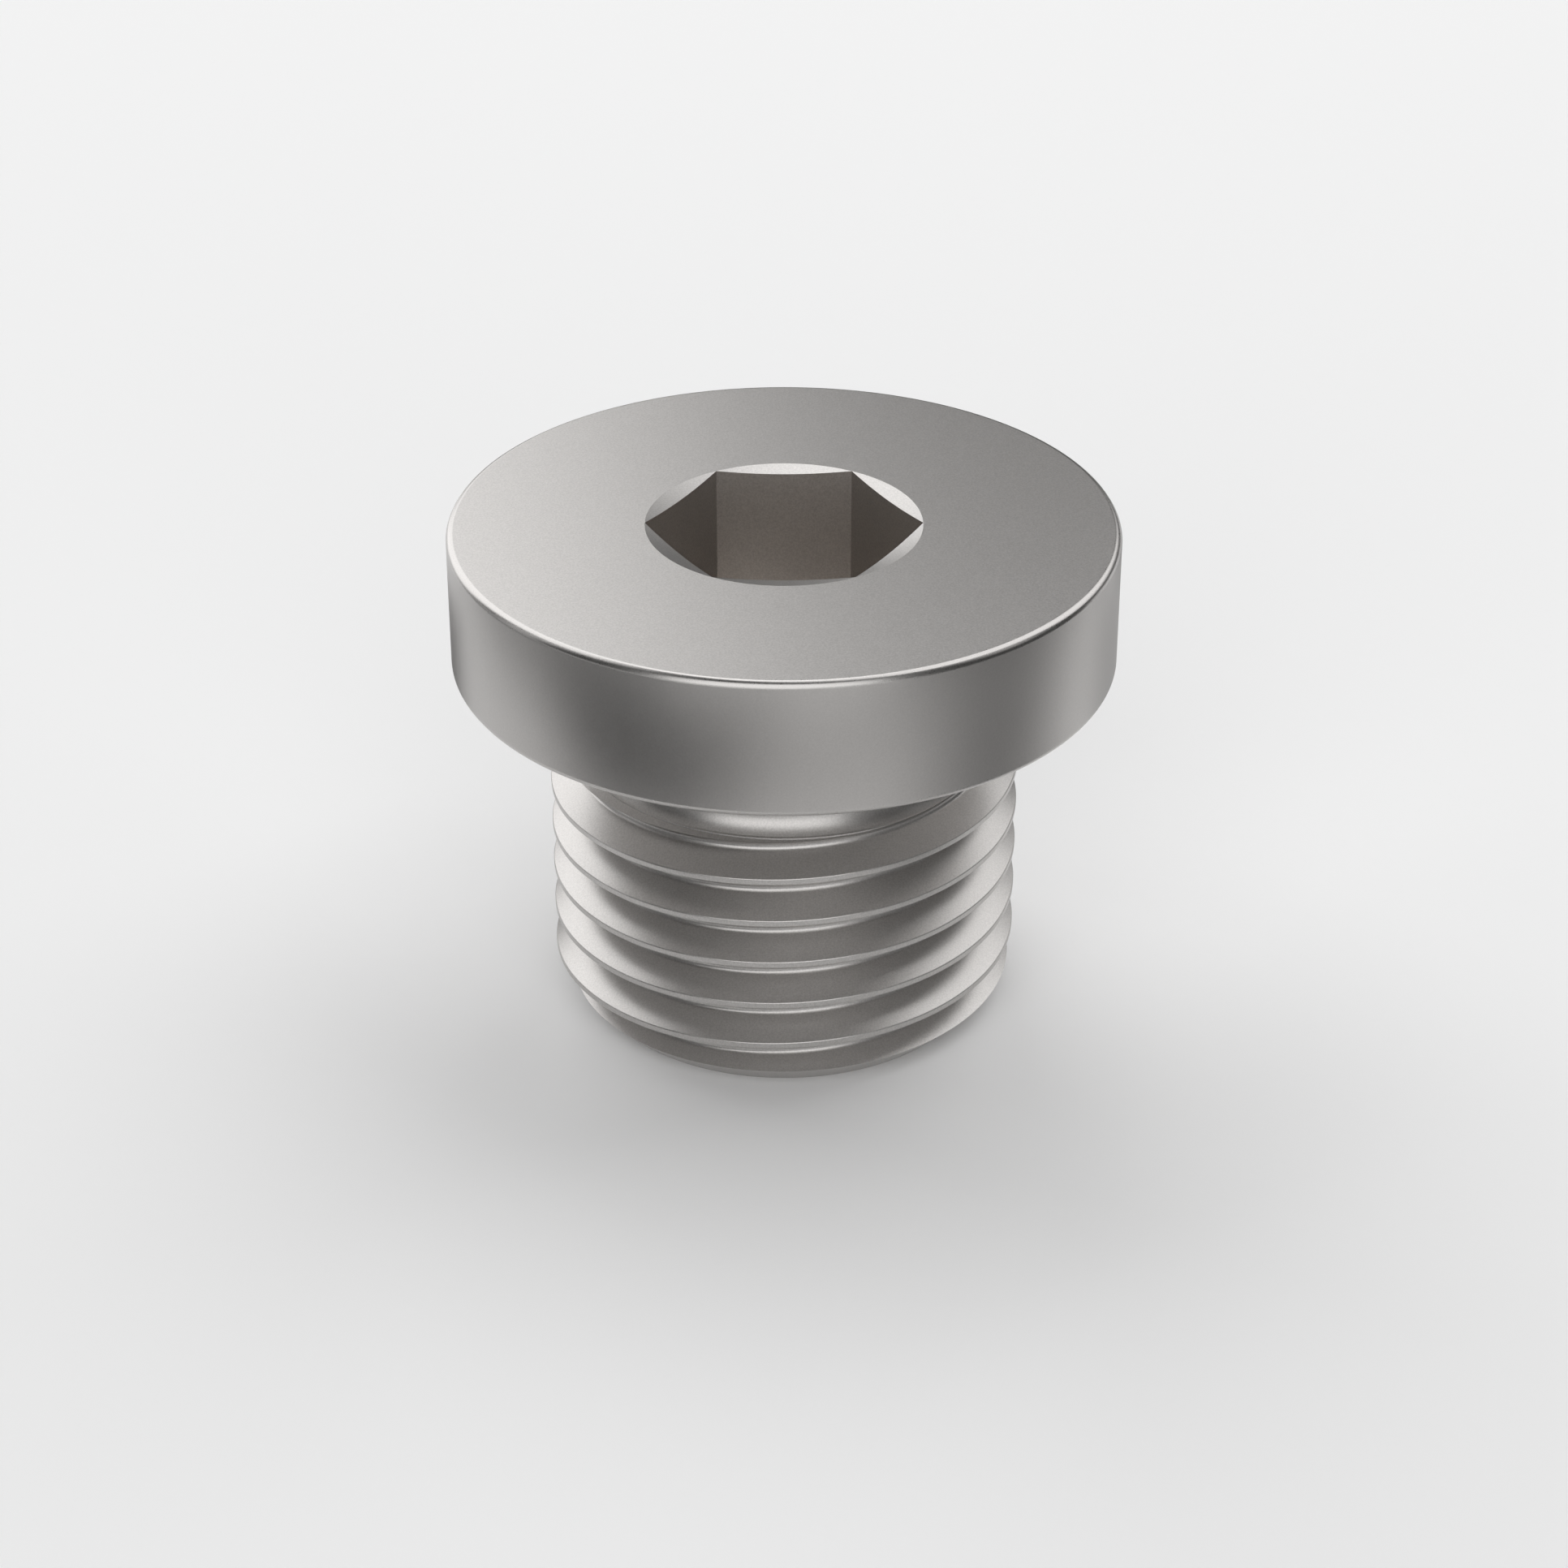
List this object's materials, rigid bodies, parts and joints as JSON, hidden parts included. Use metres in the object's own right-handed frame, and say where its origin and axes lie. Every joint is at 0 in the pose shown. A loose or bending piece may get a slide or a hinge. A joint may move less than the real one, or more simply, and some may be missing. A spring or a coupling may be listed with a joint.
{
  "type": "hex socket plug",
  "caption": "Hexagon socket screw plug with a round collar, an undercut neck and a right-hand fine thread with a chamfered end, for closing a tapped port.",
  "frame": {"origin": "middle of the thread's end face, at the plug's lowest point", "axes": "+Z along the plug's axis, out of the socket; two corners of the hexagon lie on the X axis"},
  "size_m": [0.014, 0.014, 0.011],
  "materials": {
    "plug": "satin"
  },
  "bodies": {
    "root": {"plug_body": "plug"}
  },
  "joints": []
}
